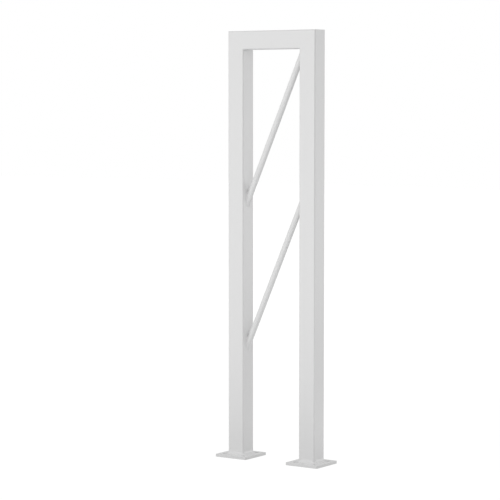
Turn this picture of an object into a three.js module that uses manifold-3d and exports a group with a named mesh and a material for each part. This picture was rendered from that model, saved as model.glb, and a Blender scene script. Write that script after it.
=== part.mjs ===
// A white-coated steel railing baluster: two square-tube uprights under a top rail, each upright
// on a drilled base plate, with two slanted round rods across the gap between them.
//
// Millimetres. +X runs along the rail, -Y faces the front and +Z is up. The origin is on the floor,
// midway between the two base plates.

import * as THREE from "three";
import { mergeVertices } from "three/addons/utils/BufferGeometryUtils.js";
import Module from "manifold-3d";

const wasm = await Module();
wasm.setup();

// Frame
const frameHeight = 930; // from the floor to the top of the rail
const frameWidth = 225; // across the outer faces of the two uprights

// Square tube of the uprights and the rail
const tubeSide = 40;
const tubeWall = 2;
const tubeCornerRadius = 3; // outside, the inside follows from the wall

// Base plates
const plateLip = 20; // how far a plate reaches past its upright on each side
const plateThickness = 6;
const plateCornerRadius = 1.5;
const boltHoleDiameter = 9; // clears an M8 floor bolt
const boltHoleToTube = 0.5; // from a hole's rim to the line of the upright's face

// Slanted rods
const rodDiameter = 13;
const rodRise = 325; // height that a rod gains between the uprights
const lowerRodFoot = 249; // from the floor to the lower rod's centreline at the left upright

// Root gap at each cut end, which its weld fills
const rootGap = 0.3;

// Fineness of the round edges
const cornerSegments = 8; // to a quarter turn
const roundSegments = 48; // to a full turn

// Sizes that follow from those above
const gapWidth = frameWidth - 2 * tubeSide;
const uprightCentre = (frameWidth - tubeSide) / 2;
const railUnderside = frameHeight - tubeSide;
const uprightLength = frameHeight - plateThickness;
const plateSide = tubeSide + 2 * plateLip;
const boltHoleOffset = tubeSide / 2 + boltHoleToTube + boltHoleDiameter / 2;
const upperRodFoot = railUnderside - rodRise; // its centreline runs into the corner under the rail

// The coat is one neutral white powder coat, baked to a satin.
function whiteCoat() {
  return new THREE.MeshStandardMaterial({ color: 0xe2e2e0, roughness: 0.45, metalness: 0 });
}

function named(name, geometry) {
  const mesh = new THREE.Mesh(geometry, whiteCoat());
  mesh.name = name;
  return mesh;
}

// Points of an arc that is counted in half turns, from the +x axis towards +y.
function arcPoints(x, y, radius, start, end, segments) {
  const arc = new THREE.EllipseCurve(x, y, radius, radius, start * Math.PI, end * Math.PI);
  return arc.getPoints(segments);
}

// Points of a square with rounded corners, centred on the origin.
function roundedSquare(side, radius) {
  const flat = side / 2 - radius;
  const corners = [[flat, -flat], [flat, flat], [-flat, flat], [-flat, -flat]];
  return corners.flatMap(([x, y], quarter) => {
    const start = (quarter - 1) / 2;
    return arcPoints(x, y, radius, start, start + 1 / 2, cornerSegments);
  });
}

function tubeSection() {
  const thinnestRadius = 0.2;
  const boreRadius = Math.max(tubeCornerRadius - tubeWall, thinnestRadius);
  const section = new THREE.Shape(roundedSquare(tubeSide, tubeCornerRadius));
  section.holes.push(new THREE.Path(roundedSquare(tubeSide - 2 * tubeWall, boreRadius)));
  return section;
}

// A square tube along Z. lowEnd and highEnd give the height of each sawn end at a local x,
// so that an end is square, or cut on a slant.
function squareTube(lowEnd, highEnd) {
  const blank = { depth: 1, bevelEnabled: false };
  const geometry = new THREE.ExtrudeGeometry(tubeSection(), blank);
  const position = geometry.attributes.position;
  for (let i = 0; i < position.count; i += 1) {
    const end = position.getZ(i) > blank.depth / 2 ? highEnd : lowEnd;
    position.setZ(i, end(position.getX(i)));
  }
  geometry.computeVertexNormals();
  return geometry;
}

// Height of a 45 degree mitre under the outer corner of the frame. The tube is longest at its
// outer face, and loses its own width by its inner face. inward is the x direction of that face.
function mitre(longest, inward) {
  const setBack = rootGap / Math.SQRT2;
  return (x) => longest - (tubeSide / 2 + inward * x) - setBack;
}

function upright(name, inward) {
  const mesh = named(name, squareTube(() => 0, mitre(uprightLength, inward)));
  mesh.position.z = plateThickness;
  return mesh;
}

// The rail is mitred at both ends. It is turned so that its local x points down.
function topRail() {
  const rightEnd = mitre(frameWidth / 2, 1);
  const leftEnd = (x) => -rightEnd(x);
  const mesh = named("top_rail", squareTube(leftEnd, rightEnd));
  mesh.rotation.y = Math.PI / 2;
  mesh.position.z = frameHeight - tubeSide / 2;
  return mesh;
}

// A square plate with a bolt hole in each corner.
function basePlate(name) {
  const outline = new THREE.Shape(roundedSquare(plateSide, plateCornerRadius));
  for (const x of [-boltHoleOffset, boltHoleOffset]) {
    for (const y of [-boltHoleOffset, boltHoleOffset]) {
      outline.holes.push(new THREE.Path(arcPoints(x, y, boltHoleDiameter / 2, 0, 2, roundSegments)));
    }
  }
  return named(name, new THREE.ExtrudeGeometry(outline, { depth: plateThickness, bevelEnabled: false }));
}

// A closed geometry as a solid that can be cut.
function solidOf(geometry) {
  const bare = geometry.clone();
  bare.deleteAttribute("normal");
  bare.deleteAttribute("uv");
  const merged = mergeVertices(bare);
  const vertProperties = merged.attributes.position.array;
  const triVerts = new Uint32Array(merged.index.array);
  return new wasm.Manifold(new wasm.Mesh({ numProp: 3, vertProperties, triVerts }));
}

function geometryOf(solid) {
  const { vertProperties, triVerts } = solid.getMesh();
  const geometry = new THREE.BufferGeometry();
  geometry.setAttribute("position", new THREE.BufferAttribute(vertProperties, 3));
  geometry.setIndex(new THREE.BufferAttribute(triVerts, 1));
  geometry.computeVertexNormals();
  return geometry;
}

// The clear space between the uprights, above the plates and under the rail, less the root gap.
// It is seen from a centre at the given height.
function clearSpace(centreHeight) {
  const low = plateThickness + rootGap - centreHeight;
  const high = railUnderside - rootGap - centreHeight;
  const space = new THREE.BoxGeometry(gapWidth - 2 * rootGap, tubeSide, high - low);
  space.translate(0, 0, (low + high) / 2);
  return space;
}

// A round rod that leans to the right. Its ends are sawn flush with the uprights' inner faces,
// and with the rail's underside where it reaches it.
function slantedRod(name, footHeight) {
  const centreHeight = footHeight + rodRise / 2;
  const slantCut = rodDiameter * (rodRise / gapWidth);
  const blankLength = Math.hypot(gapWidth, rodRise) + 2 * slantCut;
  const blank = new THREE.CylinderGeometry(rodDiameter / 2, rodDiameter / 2, blankLength, roundSegments);
  blank.rotateX(Math.PI / 2);
  blank.rotateY(Math.atan2(gapWidth, rodRise));
  const sawn = solidOf(blank).intersect(solidOf(clearSpace(centreHeight)));
  const mesh = named(name, geometryOf(sawn));
  mesh.position.z = centreHeight;
  return mesh;
}

const baluster = new THREE.Group();

for (const [side, inward] of [["left", 1], ["right", -1]]) {
  const post = new THREE.Group();
  post.position.x = -inward * uprightCentre;
  post.add(basePlate(`${side}_base_plate`));
  post.add(upright(`${side}_upright`, inward));
  baluster.add(post);
}

baluster.add(topRail());
baluster.add(slantedRod("upper_brace_rod", upperRodFoot));
baluster.add(slantedRod("lower_brace_rod", lowerRodFoot));

export default baluster;
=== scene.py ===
# %% [markdown]
# # A white steel railing baluster
#
# Two square tubes stand on drilled plates, a third joins their tops, and two slanted rods brace
# the gap. The shop welds it all, grinds the corners flush, and sprays and bakes one coat of
# white powder over everything. So the real object shows almost no joints: its looks come from
# soft corners, small weld beads and a very even satin skin. This lesson makes those.

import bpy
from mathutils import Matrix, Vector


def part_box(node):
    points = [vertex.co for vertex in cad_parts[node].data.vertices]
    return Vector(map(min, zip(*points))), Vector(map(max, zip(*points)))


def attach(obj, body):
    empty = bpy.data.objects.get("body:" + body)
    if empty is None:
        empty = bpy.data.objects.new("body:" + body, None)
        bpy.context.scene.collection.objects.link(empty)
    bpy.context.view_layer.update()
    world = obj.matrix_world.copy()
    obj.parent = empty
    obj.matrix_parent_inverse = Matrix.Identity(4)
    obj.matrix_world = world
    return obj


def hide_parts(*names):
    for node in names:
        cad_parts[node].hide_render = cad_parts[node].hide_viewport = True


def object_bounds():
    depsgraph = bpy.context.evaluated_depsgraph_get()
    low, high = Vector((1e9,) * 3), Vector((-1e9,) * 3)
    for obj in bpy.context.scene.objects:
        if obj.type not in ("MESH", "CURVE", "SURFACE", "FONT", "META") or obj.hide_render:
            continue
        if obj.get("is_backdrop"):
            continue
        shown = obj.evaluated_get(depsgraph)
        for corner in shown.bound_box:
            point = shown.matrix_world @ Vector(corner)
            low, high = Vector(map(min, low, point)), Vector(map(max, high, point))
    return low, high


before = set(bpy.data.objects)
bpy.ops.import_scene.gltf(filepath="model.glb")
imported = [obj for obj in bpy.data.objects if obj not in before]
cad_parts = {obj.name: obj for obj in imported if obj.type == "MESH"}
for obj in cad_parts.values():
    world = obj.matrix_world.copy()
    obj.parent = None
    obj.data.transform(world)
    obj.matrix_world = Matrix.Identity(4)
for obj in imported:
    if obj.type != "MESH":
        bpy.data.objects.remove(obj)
cad_low, cad_high = (corner.copy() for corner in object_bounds())
print("nodes:", sorted(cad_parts))

# %% [markdown]
# ## Sizes
#
# The solids already have the right sizes, so a piece asks them where it goes. Only what can't be
# read off a box, such as a wall, a corner or a slope, is written down here, in metres.

# %% Read the sizes
import math
from contextlib import contextmanager

import bmesh
import bpy
from mathutils import Matrix, Vector

MM = 0.001
upright_low, upright_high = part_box("left_upright")
plate_low, plate_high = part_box("left_base_plate")
rail_top = cad_high.z
plate_top = plate_high.z
tube_side = upright_high.y - upright_low.y
half_tube = tube_side / 2
frame_half = -upright_low.x
gap_half = frame_half - tube_side
rail_underside = rail_top - tube_side
post_centre = frame_half - half_tube

tube_wall = 2 * MM
tube_corner = 3 * MM
hole_radius = 4.5 * MM
hole_offset = half_tube + 0.5 * MM + hole_radius
lower_rod_low, lower_rod_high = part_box("lower_brace_rod")
rod_radius = (lower_rod_high.y - lower_rod_low.y) / 2
rod_rise = 325 * MM
lower_rod_middle = (lower_rod_low.z + lower_rod_high.z) / 2
upper_rod_middle = rail_underside - rod_rise / 2
for label, value in (("tube", tube_side), ("gap", 2 * gap_half), ("rod", 2 * rod_radius)):
    print(f"{label}: {value / MM:.0f} mm")

# %% [markdown]
# ## The camera
#
# The photo was taken from well back with a long lens, 35 degrees round to the right and a
# little below the top of the object. A camera that far away hardly narrows the uprights. It
# looks down by four degrees and has no lens shift, so it can be turned round the object as it is.

# %% Place the camera
CAMERA_HEADING = math.radians(34.84)
CAMERA_PITCH = math.radians(4.23)
CAMERA_BACK = 4.3766
CAMERA_ASIDE = -0.0559
CAMERA_HEIGHT = 0.7820
LENS_MM = 146.26

ahead = Vector((-math.sin(CAMERA_HEADING), math.cos(CAMERA_HEADING), 0))
aside = Vector((math.cos(CAMERA_HEADING), math.sin(CAMERA_HEADING), 0))
stand = aside * CAMERA_ASIDE - ahead * CAMERA_BACK + Vector((0, 0, CAMERA_HEIGHT))
bpy.ops.object.camera_add(location=stand, rotation=(math.pi / 2 - CAMERA_PITCH, 0, CAMERA_HEADING))
camera = bpy.context.object
camera.name = "camera"
camera.data.lens = LENS_MM
bpy.context.scene.camera = camera
print("camera at", tuple(stand))

# %% [markdown]
# ## Hand tools
#
# Blender's edit tools act on whatever is selected. These helpers open one piece for editing,
# and pick its faces or edges by where they are and which way they look, as a hand would.

# %% Open a piece for editing
def take(piece):
    """Makes one object the only selected one."""
    bpy.ops.object.select_all(action="DESELECT")
    piece.select_set(True)
    bpy.context.view_layer.objects.active = piece


@contextmanager
def editing(piece):
    """Opens one piece in edit mode, and closes it at the end of the with block."""
    take(piece)
    bpy.ops.object.mode_set(mode="EDIT")
    yield
    bpy.ops.object.mode_set(mode="OBJECT")


# %% Pick faces and edges
FACING = 0.9  # the least part of a face's normal that lies along the axis it looks down
STRAIGHT = 0.99  # the same for an edge's direction


def pick_faces(wanted):
    """Selects the faces where wanted(centre, normal) is true."""
    bpy.ops.mesh.select_mode(type="FACE")
    bpy.ops.mesh.select_all(action="DESELECT")
    data = bpy.context.object.data
    chosen = []
    for face in bmesh.from_edit_mesh(data).faces:
        if wanted(face.calc_center_median(), face.normal):
            chosen.append(face)
    for face in chosen:
        face.select_set(True)
    bmesh.update_edit_mesh(data)
    return len(chosen)


def pick_edges(wanted):
    """Selects the edges where wanted(middle, direction, bend) is true. bend is in radians."""
    bpy.ops.mesh.select_mode(type="EDGE")
    bpy.ops.mesh.select_all(action="DESELECT")
    data = bpy.context.object.data
    chosen = []
    for edge in bmesh.from_edit_mesh(data).edges:
        start, end = (vertex.co for vertex in edge.verts)
        direction = (end - start).normalized()
        if wanted((start + end) / 2, direction, edge.calc_face_angle(0)):
            chosen.append(edge)
    for edge in chosen:
        edge.select_set(True)
    bmesh.update_edit_mesh(data)
    return len(chosen)


def along(direction, axis):
    """Whether a direction lies along axis 0, 1 or 2."""
    return abs(direction[axis]) > STRAIGHT


# %% Add blocks and finish pieces
def settle(piece):
    """Puts a piece's place into its mesh, so that its object sits at the origin."""
    take(piece)
    bpy.ops.object.transform_apply(location=True, rotation=True, scale=True)


def add_block(name, low, high):
    """A box between two corners."""
    low, high = Vector(low), Vector(high)
    bpy.ops.object.select_all(action="DESELECT")
    bpy.ops.mesh.primitive_cube_add(size=1, location=(low + high) / 2, scale=high - low)
    block = bpy.context.object
    block.name = name
    settle(block)
    return block


def extrude_faces(move):
    """Pulls the selected faces out, and leaves walls behind them."""
    bpy.ops.mesh.extrude_region_move(TRANSFORM_OT_translate={"value": move})


def apply_modifier(piece, kind, **settings):
    """Adds a modifier with its settings, and makes its result the mesh."""
    take(piece)
    modifier = piece.modifiers.new(kind.lower(), kind)
    for key, value in settings.items():
        setattr(modifier, key, value)
    bpy.ops.object.modifier_apply(modifier=modifier.name)


def smooth(piece, most_degrees=35):
    """Shades soft bends round, and lets the broad faces keep their true normals."""
    take(piece)
    bpy.ops.object.shade_smooth_by_angle(angle=math.radians(most_degrees))
    apply_modifier(piece, "WEIGHTED_NORMAL", keep_sharp=True, weight=100)


def show_size(piece):
    """Prints how large a piece is and how many faces it has."""
    size = [round(value / MM, 1) for value in piece.dimensions]
    print(f"{piece.name}: {size} mm, {len(piece.data.polygons)} faces")


# %% [markdown]
# ## The tube frame
#
# Three lengths of tube are mitred and welded, and each seam is ground flush under the coat, so the
# eye sees one continuous upturned U. It is modelled as the shop leaves it, in one piece: a block
# as long as the left upright is extruded up, across and down. Then its long edges get the tube's
# 3 mm corner, and its open feet let a wall of 2 mm be given to the whole run.

# %% Extrude the upturned U
tube_frame = add_block(
    "welded_tube_frame",
    (-frame_half, -half_tube, plate_top),
    (-gap_half, half_tube, rail_underside),
)
with editing(tube_frame):
    pick_faces(lambda at, normal: normal.z > FACING)
    extrude_faces((0, 0, tube_side))
    pick_faces(lambda at, normal: normal.x > FACING and at.z > rail_underside)
    extrude_faces((2 * gap_half, 0, 0))
    extrude_faces((tube_side, 0, 0))
    pick_faces(lambda at, normal: normal.z < -FACING and at.x > gap_half)
    extrude_faces((0, 0, plate_top - rail_underside))
show_size(tube_frame)

# %% Round the tube's long edges
CORNER_STEPS = 6
SHARP = math.radians(60)

with editing(tube_frame):
    rounded = pick_edges(
        lambda at, way, bend: bend > SHARP
        and (along(way, 2) or (along(way, 0) and at.z > plate_top + tube_corner))
    )
    bpy.ops.mesh.bevel(offset=tube_corner, segments=CORNER_STEPS, profile=0.5)
print(rounded, "edges rounded")

# %% Ease the ground corners and open the feet
GROUND_EASE = 0.6 * MM
GROUND_STEPS = 2
HARD_EDGE = math.radians(50)
SAME_POINT = 0.01 * MM

with editing(tube_frame):
    pick_faces(lambda at, normal: normal.z < -FACING and at.z < plate_top + tube_corner)
    bpy.ops.mesh.delete(type="ONLY_FACE")
    bpy.ops.mesh.select_all(action="SELECT")
    bpy.ops.mesh.normals_make_consistent(inside=False)
apply_modifier(tube_frame, "SOLIDIFY", thickness=tube_wall, offset=-1, use_even_offset=True)
apply_modifier(
    tube_frame,
    "BEVEL",
    width=GROUND_EASE,
    segments=GROUND_STEPS,
    limit_method="ANGLE",
    angle_limit=HARD_EDGE,
)
with editing(tube_frame):
    bpy.ops.mesh.select_all(action="SELECT")
    bpy.ops.mesh.remove_doubles(threshold=SAME_POINT)
smooth(tube_frame)
show_size(tube_frame)

# %% [markdown]
# ## The base plates
#
# Each plate is sheared from 6 mm flat bar and drilled in its corners. Its edges are only broken
# with a file, but the coat draws itself round them, so each arris has a small radius that
# catches the light. One plate is made, and the other is a copy.

# %% Cut and drill a plate
PLATE_CORNER = 1.5 * MM
PLATE_CORNER_STEPS = 4
PLATE_ARRIS = 0.7 * MM
PLATE_ARRIS_STEPS = 3
HOLE_SIDES = 48


def drill(plate, x, y):
    """Cuts a bolt hole with a bit that is three times as long as the plate is thick."""
    bpy.ops.object.select_all(action="DESELECT")
    bpy.ops.mesh.primitive_cylinder_add(
        vertices=HOLE_SIDES,
        radius=hole_radius,
        depth=3 * (plate_high.z - plate_low.z),
        location=(x, y, (plate_low.z + plate_high.z) / 2),
    )
    bit = bpy.context.object
    apply_modifier(plate, "BOOLEAN", operation="DIFFERENCE", solver="EXACT", object=bit)
    bpy.data.objects.remove(bit)


left_plate = add_block("left_plate", plate_low, plate_high)
with editing(left_plate):
    pick_edges(lambda at, way, bend: along(way, 2))
    bpy.ops.mesh.bevel(offset=PLATE_CORNER, segments=PLATE_CORNER_STEPS, profile=0.5)
for x_side in (-1, 1):
    for y_side in (-1, 1):
        drill(left_plate, x_side * hole_offset - post_centre, y_side * hole_offset)
apply_modifier(
    left_plate,
    "BEVEL",
    width=PLATE_ARRIS,
    segments=PLATE_ARRIS_STEPS,
    limit_method="ANGLE",
    angle_limit=HARD_EDGE,
)
smooth(left_plate)
show_size(left_plate)

# %% Copy the plate to the right
def copied(piece, name, move):
    """A copy with a mesh of its own, moved in its mesh."""
    twin = piece.copy()
    twin.data = piece.data.copy()
    twin.name = name
    bpy.context.collection.objects.link(twin)
    twin.data.transform(Matrix.Translation(move))
    return twin


right_plate = copied(left_plate, "right_plate", (2 * post_centre, 0, 0))
show_size(right_plate)

# %% [markdown]
# ## The slanted rods
#
# Each rod is a round bar, sawn so that its ends lie flat on the uprights. A cylinder is leaned
# over and bisected by the planes of the uprights' faces, and the upper one by the rail's
# underside too.

# %% Saw the rods
ROD_SIDES = 64
rod_lean = math.atan2(2 * gap_half, rod_rise)


def saw(at, outward):
    """Cuts off everything outward of a plane, and closes the cut."""
    bpy.ops.mesh.select_all(action="SELECT")
    bpy.ops.mesh.bisect(plane_co=at, plane_no=outward, use_fill=True, clear_outer=True)


def add_rod(name, middle_height):
    """A leaning bar, cut from a blank with enough spare length for both slanted ends."""
    bpy.ops.object.select_all(action="DESELECT")
    spare = 4 * rod_radius / math.tan(rod_lean)
    bpy.ops.mesh.primitive_cylinder_add(
        vertices=ROD_SIDES,
        radius=rod_radius,
        depth=math.hypot(2 * gap_half, rod_rise) + spare,
        location=(0, 0, middle_height),
        rotation=(0, rod_lean, 0),
    )
    rod = bpy.context.object
    rod.name = name
    settle(rod)
    with editing(rod):
        saw((gap_half, 0, 0), (1, 0, 0))
        saw((-gap_half, 0, 0), (-1, 0, 0))
        saw((0, 0, rail_underside), (0, 0, 1))
    smooth(rod)
    show_size(rod)
    return rod


upper_rod = add_rod("upper_slanted_rod", upper_rod_middle)
lower_rod = add_rod("lower_slanted_rod", lower_rod_middle)

# %% [markdown]
# ## The foot welds
#
# A bead runs round each upright where it stands on its plate. A slab with rounded corners is
# inset and raised in small steps, which gives the bead the slightly hollow face that a thick
# coat leaves, and its middle is bridged open, so that it is a true ring round the tube. Its
# sides are cut into short lengths, and every ripple of the bead is a small push on their points.

# %% Lay a bead round a foot
FOOT_LEG = 5 * MM
FOOT_RISE = 7 * MM
FOOT_ROUND = 12 * MM
TOE = 0.2 * MM
HOLLOW = 0.7 * MM
FACE_STEPS = 5


def bead_profile(leg, rise, steps):
    """Inset and rise of each step up a weld's slightly hollow face, from its toe."""
    points = []
    for step in range(steps + 1):
        share = step / steps
        sag = HOLLOW * math.sin(math.pi * share)
        points.append((share * leg + sag, share * (rise - TOE) - sag))
    return [(b[0] - a[0], b[1] - a[1]) for a, b in zip(points, points[1:])]


foot_weld = add_block(
    "left_foot_weld",
    (-frame_half - FOOT_LEG, -half_tube - FOOT_LEG, plate_top),
    (-gap_half + FOOT_LEG, half_tube + FOOT_LEG, plate_top + TOE),
)
with editing(foot_weld):
    pick_edges(lambda at, way, bend: along(way, 2))
    bpy.ops.mesh.bevel(offset=FOOT_ROUND, segments=2 * CORNER_STEPS, profile=0.5)
    pick_faces(lambda at, normal: normal.z > FACING)
    for inset, rise in bead_profile(FOOT_LEG, FOOT_RISE, FACE_STEPS):
        bpy.ops.mesh.inset(thickness=inset, depth=0)
        bpy.ops.transform.translate(value=(0, 0, rise))
    bpy.ops.mesh.delete(type="ONLY_FACE")
    pick_faces(lambda at, normal: normal.z < -FACING)
    bpy.ops.mesh.inset(thickness=FOOT_LEG, depth=0)
    bpy.ops.mesh.delete(type="ONLY_FACE")
    bpy.ops.mesh.select_mode(type="EDGE")
    bpy.ops.mesh.select_non_manifold()
    bpy.ops.mesh.bridge_edge_loops()
show_size(foot_weld)

# %% Ripple the bead
RIPPLE_PITCH = 2.4 * MM
RIPPLE_HEIGHT = 0.05 * MM
RIPPLE_CUTS = 5
RIPPLE_LAG = 0.4
OFF_TUBE = 0.05 * MM
RIPPLE_FROM, RIPPLE_TO = 0.1, 0.95
BEAD_SMOOTH = 50

with editing(foot_weld):
    straight = 2 * (half_tube + FOOT_LEG - FOOT_ROUND)
    pick_edges(lambda at, way, bend: (along(way, 0) or along(way, 1)))
    mesh = bmesh.from_edit_mesh(foot_weld.data)
    for edge in mesh.edges:
        edge.select_set(edge.select and edge.calc_length() > straight / 2)
    bmesh.update_edit_mesh(foot_weld.data)
    bpy.ops.mesh.subdivide(number_cuts=int(straight / RIPPLE_PITCH * RIPPLE_CUTS))

for vertex in foot_weld.data.vertices:
    out_x, out_y = vertex.co.x + post_centre, vertex.co.y
    reach = max(abs(out_x), abs(out_y)) - half_tube
    run = out_y if abs(out_x) > abs(out_y) else out_x
    rise_share = (vertex.co.z - plate_top) / FOOT_RISE
    if reach > OFF_TUBE and RIPPLE_FROM < rise_share < RIPPLE_TO:
        lag = RIPPLE_PITCH * RIPPLE_LAG * math.sin(math.pi * rise_share)
        push = RIPPLE_HEIGHT * math.cos(2 * math.pi * (abs(run) - lag) / RIPPLE_PITCH)
        outward = Vector((out_x, out_y, 0)).normalized()
        vertex.co += (outward + Vector((0, 0, 1))) * push / math.sqrt(2)
smooth(foot_weld, BEAD_SMOOTH)
right_foot_weld = copied(foot_weld, "right_foot_weld", (2 * post_centre, 0, 0))
show_size(foot_weld)

# %% [markdown]
# ## The rod welds
#
# Where a rod meets an upright, its round section becomes a tall ellipse, and the weld is a
# leaning collar round it, widest in the narrow crook above the rod's foot. Each collar starts
# as a flat disc on the upright's face. It is extruded along the rod in small steps and shrunk at
# each one until it lies on the rod, low and wide at first and then steep, as a fillet is.

# %% Make a collar
COLLAR_SIDES = 160
COLLAR_LEG = 1.5 * MM
CROOK_FILL = 2.6 * MM
COLLAR_STEPS = 5
COLLAR_HOLLOW = 0.6
UNDER_SKIN = 0.05 * MM
COLLAR_RIPPLE_FROM, COLLAR_RIPPLE_TO = 0.05, 0.8
COLLAR_SMOOTH = 40


def add_collar(name, at, normal, shift, half_width, half_length, crook):
    """A weld collar at a point of a face.

    normal is the face's way out. shift is where the rod's section has gone when it is one leg
    off the face. The section is half_width in y, and half_length along the face.
    """
    bpy.ops.object.select_all(action="DESELECT")
    at, normal, shift = Vector(at), Vector(normal), Vector(shift)
    slide = (shift - normal * shift.dot(normal)).normalized()
    long_axis = 0 if abs(slide.x) > abs(slide.z) else 2
    width = half_width + COLLAR_LEG
    length = half_length + (COLLAR_LEG + crook) / 2
    centre = at + slide * (crook - COLLAR_LEG) / 2
    bpy.ops.mesh.primitive_circle_add(vertices=COLLAR_SIDES, radius=1, fill_type="NGON")
    collar = bpy.context.object
    collar.name = name
    axes = Matrix((slide * length, Vector((0, width, 0)), normal)).transposed()
    collar.matrix_world = Matrix.Translation(centre) @ axes.to_4x4()
    settle(collar)
    with editing(collar):
        pick_faces(lambda at, normal: True)
        for step in range(1, COLLAR_STEPS + 1):
            turn = math.pi / 2 * step / COLLAR_STEPS
            straight = (1 - COLLAR_HOLLOW) * step / COLLAR_STEPS
            raised = straight + COLLAR_HOLLOW * (1 - math.cos(turn))
            closed = straight + COLLAR_HOLLOW * math.sin(turn)
            goal = at + shift * raised + slide * (crook - COLLAR_LEG) / 2 * (1 - closed)
            extrude_faces(goal - centre)
            new_width = half_width - UNDER_SKIN + COLLAR_LEG * (1 - closed)
            new_length = half_length - UNDER_SKIN + (COLLAR_LEG + crook) / 2 * (1 - closed)
            pull = [1, new_width / width, 1]
            pull[long_axis] = new_length / length
            bpy.ops.transform.resize(value=pull, center_override=goal)
            centre, width, length = goal, new_width, new_length
        bpy.ops.mesh.select_all(action="SELECT")
        bpy.ops.mesh.normals_make_consistent(inside=False)
    ripple_collar(collar, at, normal, slide)
    return collar


def ripple_collar(collar, at, normal, slide):
    """Pushes the collar's long sides out and in, once for each ripple."""
    for vertex in collar.data.vertices:
        off_face = (vertex.co - at).dot(normal) / COLLAR_LEG
        if COLLAR_RIPPLE_FROM < off_face < COLLAR_RIPPLE_TO:
            run = (vertex.co - at).dot(slide)
            push = RIPPLE_HEIGHT * math.cos(2 * math.pi * run / RIPPLE_PITCH)
            sideways = Vector((0, math.copysign(1, vertex.co.y), 0))
            vertex.co += (normal + sideways) * push / math.sqrt(2)


# %% Weld the rods' ends to the uprights
steepness = rod_rise / (2 * gap_half)
half_cut = rod_radius * math.hypot(1, steepness)
one_leg_out = Vector((COLLAR_LEG, 0, COLLAR_LEG * steepness))


def add_side_collar(name, middle_height, side):
    """The collar at a rod's foot, side -1, or at its top, side 1."""
    at = Vector((side * gap_half, 0, middle_height + side * rod_rise / 2))
    shift = -side * one_leg_out
    return add_collar(name, at, (-side, 0, 0), shift, rod_radius, half_cut, CROOK_FILL)


lower_foot_collar = add_side_collar("lower_rod_foot_weld", lower_rod_middle, -1)
lower_top_collar = add_side_collar("lower_rod_top_weld", lower_rod_middle, 1)
upper_foot_collar = add_side_collar("upper_rod_foot_weld", upper_rod_middle, -1)
for collar in (lower_foot_collar, lower_top_collar, upper_foot_collar):
    smooth(collar, COLLAR_SMOOTH)
    show_size(collar)

# %% Fit the upper rod into the corner under the rail
upper_top_collar = add_side_collar("upper_rod_top_weld", upper_rod_middle, 1)
with editing(upper_top_collar):
    saw((0, 0, rail_underside), (0, 0, 1))

rail_cut = rod_radius * math.hypot(1, 1 / steepness)
rail_collar = add_collar(
    "upper_rod_rail_weld",
    (gap_half, 0, rail_underside),
    (0, 0, -1),
    (-COLLAR_LEG / steepness, 0, -COLLAR_LEG),
    rod_radius,
    rail_cut,
    COLLAR_LEG,
)
with editing(rail_collar):
    saw((gap_half, 0, 0), (1, 0, 0))
for collar in (upper_top_collar, rail_collar):
    smooth(collar, COLLAR_SMOOTH)
    show_size(collar)

# %% [markdown]
# ## The coat
#
# Baked powder is a plastic skin a tenth of a millimetre thick. It has no grain and no flakes.
# What makes it read as powder is orange peel, shallow dimples two or three millimetres across
# on a slower wave of a centimetre or so, a gloss that drifts a little from place to place, and a
# film that thins on sharp corners, where a painted shade also darkens the colour. Node groups hold
# these effects, so every finish can share them.

# %% Node helpers
def new_group(name, inputs, outputs):
    """A shader node group with named sockets. inputs gives each one's kind and default."""
    group = bpy.data.node_groups.new(name, "ShaderNodeTree")
    for socket, (kind, default) in inputs.items():
        made = group.interface.new_socket(socket, in_out="INPUT", socket_type=kind)
        made.default_value = default
    for socket, kind in outputs.items():
        group.interface.new_socket(socket, in_out="OUTPUT", socket_type=kind)
    return group, group.nodes.new("NodeGroupInput"), group.nodes.new("NodeGroupOutput")


def add_node(tree, kind, inputs=None, **settings):
    """A node with its settings, and each input given as a value or as a socket to link from."""
    node = tree.nodes.new(kind)
    for key, value in settings.items():
        setattr(node, key, value)
    for socket, value in (inputs or {}).items():
        if isinstance(value, bpy.types.NodeSocket):
            tree.links.new(value, node.inputs[socket])
        else:
            node.inputs[socket].default_value = value
    return node


FLOAT, COLOR = "NodeSocketFloat", "NodeSocketColor"

# %% Orange peel
peel_group, peel_in, peel_out = new_group(
    "orange_peel",
    {"Peel Scale": (FLOAT, 420.0), "Wave Scale": (FLOAT, 70.0), "Wave Share": (FLOAT, 0.4)},
    {"Height": FLOAT},
)
place = add_node(peel_group, "ShaderNodeTexCoord").outputs["Object"]
fine = add_node(
    peel_group,
    "ShaderNodeTexNoise",
    {"Vector": place, "Scale": peel_in.outputs["Peel Scale"], "Detail": 1.5, "Roughness": 0.45},
)
wave = add_node(
    peel_group,
    "ShaderNodeTexNoise",
    {"Vector": place, "Scale": peel_in.outputs["Wave Scale"], "Detail": 1.0, "Roughness": 0.4},
)
mixed = add_node(
    peel_group,
    "ShaderNodeMix",
    {"Factor": peel_in.outputs["Wave Share"], "A": fine.outputs["Fac"], "B": wave.outputs["Fac"]},
    data_type="FLOAT",
)
peel_group.links.new(mixed.outputs["Result"], peel_out.inputs["Height"])
print("group", peel_group.name, "has", len(peel_group.nodes), "nodes")
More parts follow.
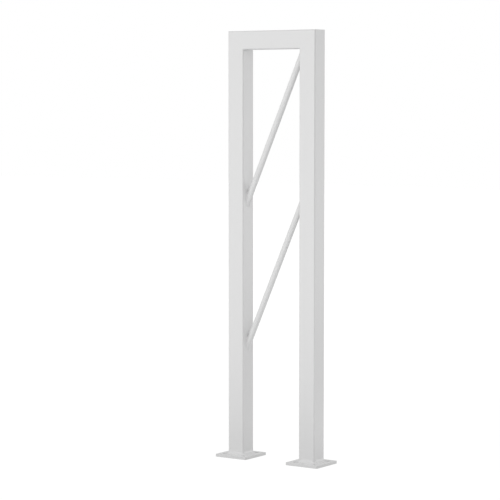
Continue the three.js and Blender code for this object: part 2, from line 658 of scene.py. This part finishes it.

# %% Colour and gloss of the film, with painted shade on its corners
film_group, film_in, film_out = new_group(
    "baked_film_and_corner_shade",
    {
        "Coat": (COLOR, (0.8, 0.8, 0.8, 1)),
        "Thin And Shaded Coat": (COLOR, (0.6, 0.6, 0.6, 1)),
        "Corner": (FLOAT, 0.0),
        "Corner Shade Share": (FLOAT, 0.2),
        "Drift": (FLOAT, 0.03),
        "Roughness": (FLOAT, 0.4),
        "Roughness Drift": (FLOAT, 0.06),
    },
    {"Color": COLOR, "Roughness": FLOAT},
)
place = add_node(film_group, "ShaderNodeTexCoord").outputs["Object"]
cloud = add_node(
    film_group,
    "ShaderNodeTexNoise",
    {"Vector": place, "Scale": 9.0, "Detail": 3.0, "Roughness": 0.55},
)
centred = add_node(
    film_group, "ShaderNodeMath", {0: cloud.outputs["Fac"], 1: 0.5}, operation="SUBTRACT"
)
drift = add_node(
    film_group,
    "ShaderNodeMath",
    {0: centred.outputs[0], 1: film_in.outputs["Drift"]},
    operation="MULTIPLY",
)
# How far the colour goes to the corner tone: random drift, plus painted shade and thinning where
# Corner is high
thin_and_shaded = add_node(
    film_group,
    "ShaderNodeMath",
    {0: film_in.outputs["Corner"], 1: film_in.outputs["Corner Shade Share"], 2: drift.outputs[0]},
    operation="MULTIPLY_ADD",
    use_clamp=True,
)
tone = add_node(
    film_group,
    "ShaderNodeMix",
    {"Factor": thin_and_shaded.outputs[0], "A": film_in.outputs["Coat"], "B": film_in.outputs["Thin And Shaded Coat"]},
    data_type="RGBA",
)
gloss = add_node(
    film_group,
    "ShaderNodeMath",
    {0: centred.outputs[0], 1: film_in.outputs["Roughness Drift"], 2: film_in.outputs["Roughness"]},
    operation="MULTIPLY_ADD",
)
film_group.links.new(tone.outputs["Result"], film_out.inputs["Color"])
film_group.links.new(gloss.outputs[0], film_out.inputs["Roughness"])
print("group", film_group.name, "has", len(film_group.nodes), "nodes")

# %% [markdown]
# At the two top corners the mitred tubes are welded and the seam is ground down to the flat. The
# coat hides the scratches but not the shallow dish that the disc leaves, a band along the
# mitre less than a tenth of a millimetre deep. It shows only when light skims it.

# %% Ground seam
SEAM_REACH = 9 * MM

seam_group, seam_in, seam_out = new_group(
    "ground_seam",
    {"Half Width": (FLOAT, frame_half), "Top": (FLOAT, rail_top), "Reach": (FLOAT, SEAM_REACH)},
    {"Mask": FLOAT},
)
place = add_node(seam_group, "ShaderNodeTexCoord").outputs["Object"]
split = add_node(seam_group, "ShaderNodeSeparateXYZ", {0: place})
off_middle = add_node(seam_group, "ShaderNodeMath", {0: split.outputs["X"]}, operation="ABSOLUTE")
from_side = add_node(
    seam_group,
    "ShaderNodeMath",
    {0: seam_in.outputs["Half Width"], 1: off_middle.outputs[0]},
    operation="SUBTRACT",
)
from_top = add_node(
    seam_group,
    "ShaderNodeMath",
    {0: seam_in.outputs["Top"], 1: split.outputs["Z"]},
    operation="SUBTRACT",
)
apart = add_node(
    seam_group,
    "ShaderNodeMath",
    {0: from_side.outputs[0], 1: from_top.outputs[0]},
    operation="SUBTRACT",
)
off_seam = add_node(seam_group, "ShaderNodeMath", {0: apart.outputs[0]}, operation="ABSOLUTE")
wander = add_node(
    seam_group,
    "ShaderNodeTexNoise",
    {"Vector": place, "Scale": 160.0, "Detail": 2.0, "Roughness": 0.5},
)
reach = seam_in.outputs["Reach"]
ragged = add_node(
    seam_group,
    "ShaderNodeMath",
    {0: wander.outputs["Fac"], 1: reach, 2: off_seam.outputs[0]},
    operation="MULTIPLY_ADD",
)
band = add_node(
    seam_group,
    "ShaderNodeMapRange",
    {"Value": ragged.outputs[0], "From Min": 0.0, "From Max": reach},
    interpolation_type="SMOOTHERSTEP",
)
band.inputs["To Min"].default_value = 1.0
band.inputs["To Max"].default_value = 0.0
seam_group.links.new(band.outputs["Result"], seam_out.inputs["Mask"])
print("group", seam_group.name, "has", len(seam_group.nodes), "nodes")

# %% [markdown]
# The finishes differ little. The coat on tube, bar and plate flows out to a satin. On the
# beads it is pulled thin over every ripple, so it is a touch rougher and its peel is finer.

# %% Mix a finish
COAT_WHITE = (0.80, 0.80, 0.80, 1)
# The corner tone: a thinner coat, darkened further as painted shade along the rounded corners
THIN_AND_SHADED_COAT = (0.60, 0.60, 0.60, 1)
TONE_DRIFT = 0.05
GLOSS_DRIFT = 0.08
FILM_IOR = 1.5


def make_coat(name, roughness, peel_scale, peel_depth, corner_shade_share, seam_dish=0.0):
    """A finish. seam_dish is how deep the ground seams lie, in peel depths."""
    material = bpy.data.materials.new(name)
    material.use_nodes = True
    tree = material.node_tree
    shader = tree.nodes["Principled BSDF"]
    corner = add_node(tree, "ShaderNodeAttribute", attribute_name="corner")
    film = add_node(tree, "ShaderNodeGroup", node_tree=film_group)
    for socket, value in (
        ("Coat", COAT_WHITE),
        ("Thin And Shaded Coat", THIN_AND_SHADED_COAT),
        ("Corner Shade Share", corner_shade_share),
        ("Drift", TONE_DRIFT),
        ("Roughness", roughness),
        ("Roughness Drift", GLOSS_DRIFT),
    ):
        film.inputs[socket].default_value = value
    tree.links.new(corner.outputs["Fac"], film.inputs["Corner"])
    peel = add_node(tree, "ShaderNodeGroup", node_tree=peel_group)
    peel.inputs["Peel Scale"].default_value = peel_scale
    height = peel.outputs["Height"]
    if seam_dish:
        seam = add_node(tree, "ShaderNodeGroup", node_tree=seam_group)
        dish = {0: seam.outputs["Mask"], 1: -seam_dish, 2: height}
        height = add_node(tree, "ShaderNodeMath", dish, operation="MULTIPLY_ADD").outputs[0]
    relief = {"Height": height, "Distance": peel_depth, "Strength": 1.0}
    bump = add_node(tree, "ShaderNodeBump", relief)
    tree.links.new(film.outputs["Color"], shader.inputs["Base Color"])
    tree.links.new(film.outputs["Roughness"], shader.inputs["Roughness"])
    tree.links.new(bump.outputs["Normal"], shader.inputs["Normal"])
    shader.inputs["IOR"].default_value = FILM_IOR
    return material


# %% Name the three finishes
# The corner share sets how much painted shade and thinning darken the corners of tube and plate
SATIN = {"roughness": 0.30, "peel_scale": 420.0, "peel_depth": 0.08 * MM, "corner_shade_share": 0.4}
BEAD = {"roughness": 0.36, "peel_scale": 620.0, "peel_depth": 0.05 * MM, "corner_shade_share": 0.0}
SEAM_DISH = 2.0

frame_coat = make_coat("white_coat_on_tube", **SATIN, seam_dish=SEAM_DISH)
satin_coat = make_coat("white_coat_on_bar", **SATIN)
bead_coat = make_coat("white_coat_over_weld", **BEAD)
print("materials:", frame_coat.name, satin_coat.name, bead_coat.name)

# %% [markdown]
# The film thins only where the metal turns a corner, and there the colour is also darkened as
# painted shade. A point whose normal looks straight along an axis lies on a flat, and one that
# looks between two axes lies on a corner. So one number a point tells the finish where the corners
# are, and every flat face is kept at nought.

# %% Mark the corners
FLAT_TO_CORNER = 1 - math.sqrt(0.5)
STILL_FLAT = 0.01


def leaning(normal):
    """0 for a normal along an axis, and 1 for one midway between two axes."""
    return min(1.0, (1 - max(abs(part) for part in normal)) / FLAT_TO_CORNER)


def mark_corners(piece):
    """Gives every point its corner number, and counts those that are well into a corner."""
    mesh = piece.data
    mark = mesh.attributes.new("corner", "FLOAT", "CORNER")
    for face in mesh.polygons:
        flat = leaning(face.normal) < STILL_FLAT
        for corner in face.loop_indices:
            point = mesh.vertices[mesh.loops[corner].vertex_index]
            mark.data[corner].value = 0.0 if flat else leaning(point.normal)
    return sum(value.value > 0.5 for value in mark.data)


for piece in (tube_frame, left_plate, right_plate):
    print(piece.name, "has", mark_corners(piece), "corner points")

# %% Dress each piece, and tie it to the frame
dressed = {
    tube_frame: (frame_coat, ("left_upright", "right_upright", "top_rail")),
    left_plate: (satin_coat, ("left_base_plate",)),
    right_plate: (satin_coat, ("right_base_plate",)),
    upper_rod: (satin_coat, ("upper_brace_rod",)),
    lower_rod: (satin_coat, ("lower_brace_rod",)),
    foot_weld: (bead_coat, ()),
    right_foot_weld: (bead_coat, ()),
    lower_foot_collar: (bead_coat, ()),
    lower_top_collar: (bead_coat, ()),
    upper_foot_collar: (bead_coat, ()),
    upper_top_collar: (bead_coat, ()),
    rail_collar: (bead_coat, ()),
}
for piece, (coat, nodes) in dressed.items():
    piece.data.materials.clear()
    piece.data.materials.append(coat)
    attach(piece, "root")
    if nodes:
        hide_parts(*nodes)
print(len(dressed), "pieces dressed")

# %% [markdown]
# ## Floor and light
#
# The front faces are the lightest, the sides are a little greyer, and everything darkens towards
# the feet. An even white room gives most of the light. A broad lamp high in front and a weak one
# at the left lift the front faces, and a low one behind at the right skims the sides and shapes
# the rods. The light that the paper sends back up is painted: to every ray but the camera's the
# paper glows, with painted shade close to the feet, where the object and its plates keep it dark,
# a painted pool of light round a spot in front, and a fade far out. To the camera the paper and
# the room are plain white, so no horizon shows.

# %% Lay the floor
FLOOR_HALF = 12.0
FLOOR_DROP = 0.2 * MM
PAPER_GLOW = 0.95
PAPER_WHITE = 0.10
# The paper's glow towards the object is painted light: dimmer near the feet as painted shade,
# brighter round a spot in front, fading at the far edge
PAINTED_GLOW_NEAR, PAINTED_GLOW_FAR, PAINTED_GLOW_EDGE = 0.55, 1.15, 0.20
MIDDLE = (0.0, 0.0, 0.0)
PAINTED_SHADE_SPOT = (0.0, -0.17, 0.0)
PAINTED_LIGHT_SPOT = (-0.30, -0.90, 0.0)
GLOW_FROM, GLOW_TO = 0.8, 2.5
DIM_FROM, DIM_TO = 0.18, 0.62
BRIGHT_FROM, BRIGHT_TO = 0.9, 2.6

bpy.ops.object.select_all(action="DESELECT")
bpy.ops.mesh.primitive_plane_add(size=2 * FLOOR_HALF, location=(0, 0, -FLOOR_DROP))
floor = bpy.context.object
floor.name = "floor"
settle(floor)
paper = bpy.data.materials.new("pale_paper")
paper.use_nodes = True
tree = paper.node_tree
tree.nodes.clear()
place = add_node(tree, "ShaderNodeTexCoord").outputs["Object"]
print("floor", floor.dimensions[:])


# %% Paint the paper's light
def by_distance(spot, near, far, value_near, value_far):
    """A value that changes smoothly with the distance from a spot on the floor."""
    distance = add_node(tree, "ShaderNodeVectorMath", {0: place, 1: spot}, operation="DISTANCE")
    ramp = add_node(
        tree,
        "ShaderNodeMapRange",
        {"Value": distance.outputs["Value"], "From Min": near, "From Max": far},
        interpolation_type="SMOOTHSTEP",
    )
    ramp.inputs["To Min"].default_value = value_near
    ramp.inputs["To Max"].default_value = value_far
    return ramp.outputs["Result"]


shade = add_node(
    tree, "ShaderNodeBsdfDiffuse", {"Color": (PAPER_WHITE, PAPER_WHITE, PAPER_WHITE, 1)}
)
lit = by_distance(MIDDLE, GLOW_FROM, GLOW_TO, PAPER_GLOW, 1.0)
glow = add_node(tree, "ShaderNodeEmission", {"Strength": lit})
seen = add_node(tree, "ShaderNodeAddShader", {0: shade.outputs[0], 1: glow.outputs[0]})
# Painted shade: the glow is dimmer close to the feet than further out
rise = by_distance(PAINTED_SHADE_SPOT, DIM_FROM, DIM_TO, PAINTED_GLOW_NEAR, PAINTED_GLOW_FAR)
# Painted light: the glow is brightest round a spot in front, and fades towards the far edge
fall = by_distance(PAINTED_LIGHT_SPOT, BRIGHT_FROM, BRIGHT_TO, 1.0, PAINTED_GLOW_EDGE)
level = add_node(tree, "ShaderNodeMath", {0: rise, 1: fall}, operation="MULTIPLY").outputs[0]
# The paper glows with this painted light for every ray but the camera's
painted_bounce_glow = add_node(tree, "ShaderNodeEmission", {"Strength": level})
ray = add_node(tree, "ShaderNodeLightPath")
blend = add_node(
    tree,
    "ShaderNodeMixShader",
    {0: ray.outputs["Is Camera Ray"], 1: painted_bounce_glow.outputs[0], 2: seen.outputs[0]},
)
add_node(tree, "ShaderNodeOutputMaterial", {"Surface": blend.outputs[0]})
floor.data.materials.append(paper)
floor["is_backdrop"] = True
print(paper.name, "has", len(tree.nodes), "nodes")

# %% Light the room
ROOM_LIGHT = 0.63

world = bpy.data.worlds.new("white_room")
bpy.context.scene.world = world
world.use_nodes = True
tree = world.node_tree
tree.nodes.clear()
room = add_node(tree, "ShaderNodeBackground", {"Color": (1, 1, 1, 1), "Strength": ROOM_LIGHT})
backdrop = add_node(tree, "ShaderNodeBackground", {"Color": (1, 1, 1, 1), "Strength": 1.0})
ray = add_node(tree, "ShaderNodeLightPath")
blend = add_node(
    tree,
    "ShaderNodeMixShader",
    {0: ray.outputs["Is Camera Ray"], 1: room.outputs[0], 2: backdrop.outputs[0]},
)
add_node(tree, "ShaderNodeOutputWorld", {"Surface": blend.outputs[0]})
print(world.name, "gives", ROOM_LIGHT)

# %% Hang the lamps
LAMP_REACH = 3.0


def add_lamp(name, around_degrees, up_degrees, size, watts):
    """A square soft lamp, placed by its turn from the front towards the right and its height."""
    target = (cad_low + cad_high) / 2
    around, up = math.radians(around_degrees), math.radians(up_degrees)
    way = Vector((math.sin(around) * math.cos(up), -math.cos(around) * math.cos(up), math.sin(up)))
    bpy.ops.object.light_add(type="AREA", location=target + way * LAMP_REACH)
    lamp = bpy.context.object
    lamp.name = name
    lamp.rotation_euler = way.to_track_quat("Z", "Y").to_euler()
    lamp.data.shape = "SQUARE"
    lamp.data.size = size
    lamp.data.energy = watts
    lamp.visible_camera = False
    print(f"{name}: {watts} W")


add_lamp("high_front_lamp", around_degrees=0, up_degrees=40, size=3.0, watts=25.0)
add_lamp("low_left_lamp", around_degrees=-30, up_degrees=5, size=1.6, watts=4.8)
add_lamp("low_back_lamp", around_degrees=150, up_degrees=5, size=1.6, watts=11.8)
bpy.context.scene.view_settings.view_transform = "Standard"

print("CAD box", cad_low[:], cad_high[:])
